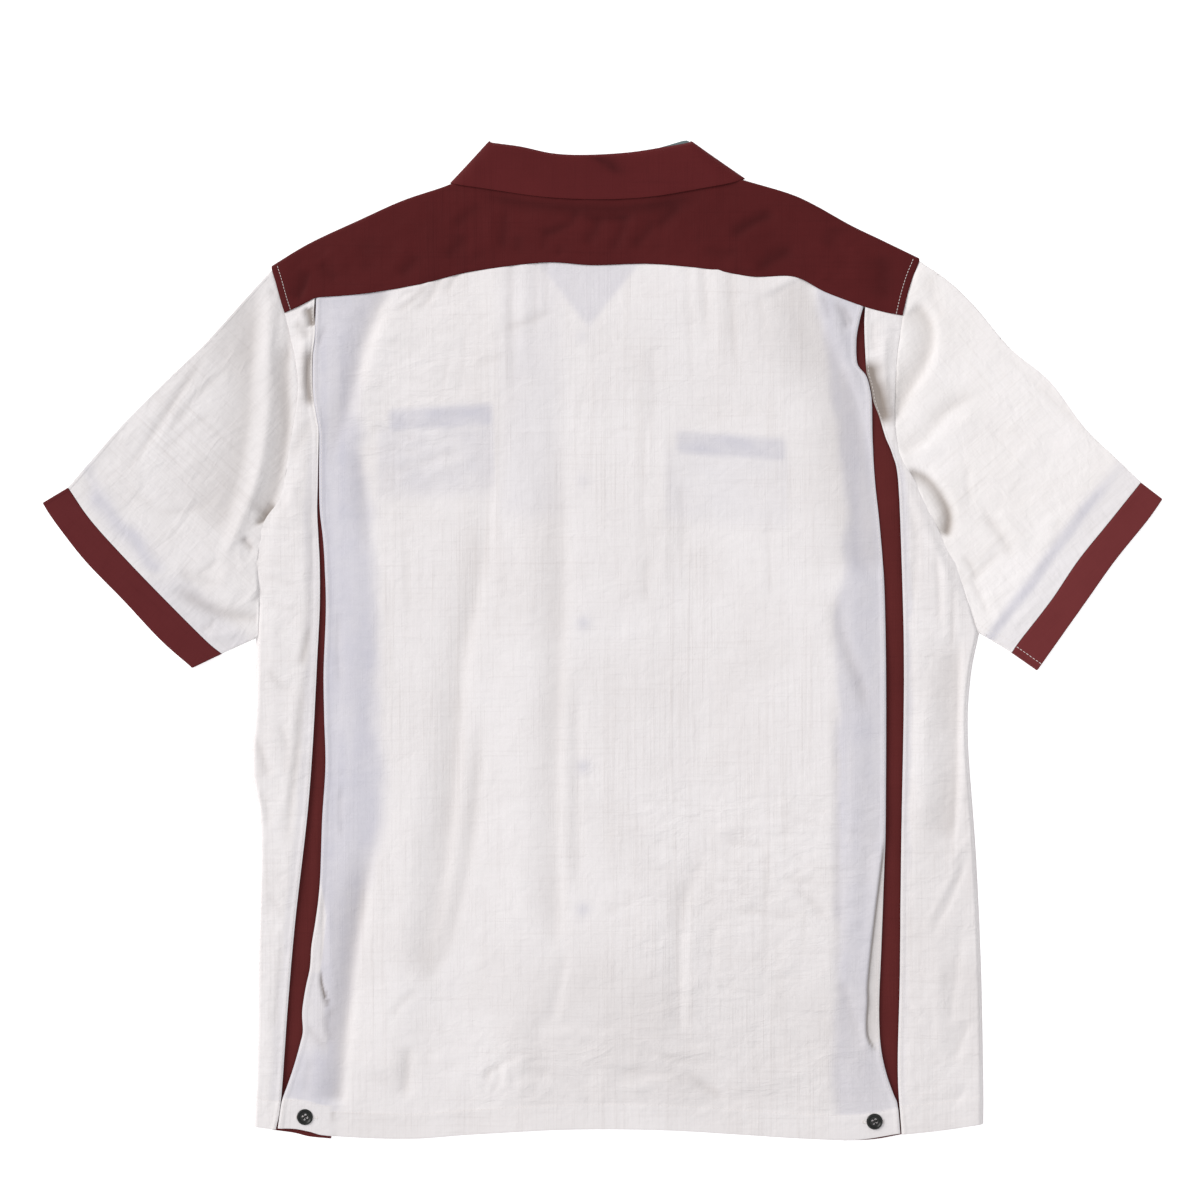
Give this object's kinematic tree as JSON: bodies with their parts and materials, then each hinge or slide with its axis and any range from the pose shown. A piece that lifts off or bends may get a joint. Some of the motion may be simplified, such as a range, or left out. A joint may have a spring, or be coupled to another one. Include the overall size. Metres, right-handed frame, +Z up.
{
  "type": "bowling shirt",
  "caption": "Short-sleeved two-tone bowling shirt with a camp collar, contrast yoke, cuff bands and buttoned back pleats, laid out flat on its front.",
  "frame": {"origin": "middle of the laid-out shirt's bounding box, on the surface that it lies on", "axes": "+Z up from that surface, out of the shirt's back; +X across the shirt to the wearer's right cuff; +Y from the hem to the collar"},
  "size_m": [0.874, 0.78, 0.0093],
  "materials": {
    "cream_cloth": "light slubbed plain-weave cloth, a little crinkled, matte",
    "maroon_cloth": "plain-weave cloth with a fine slub, matte",
    "button": "dark moulded button with a rim and four holes, satin"
  },
  "bodies": {
    "root": {"back_centre": "cream_cloth", "back_side_left": "cream_cloth", "back_side_right": "cream_cloth", "sleeve_left": "cream_cloth", "sleeve_right": "cream_cloth", "front_left": "cream_cloth", "front_right": "cream_cloth", "lapel_left": "cream_cloth", "lapel_right": "cream_cloth", "pocket_left": "cream_cloth", "pocket_right": "cream_cloth", "gusset_left": "maroon_cloth", "gusset_right": "maroon_cloth", "yoke": "maroon_cloth", "collar": "maroon_cloth", "cuff_band_left": "maroon_cloth", "cuff_band_right": "maroon_cloth", "pocket_band_left": "maroon_cloth", "pocket_band_right": "maroon_cloth", "pleat_button_left": "button", "pleat_button_right": "button", "front_button_1": "button", "front_button_2": "button", "front_button_3": "button", "front_button_4": "button", "front_button_5": "button", "front_button_6": "button"}
  },
  "joints": []
}
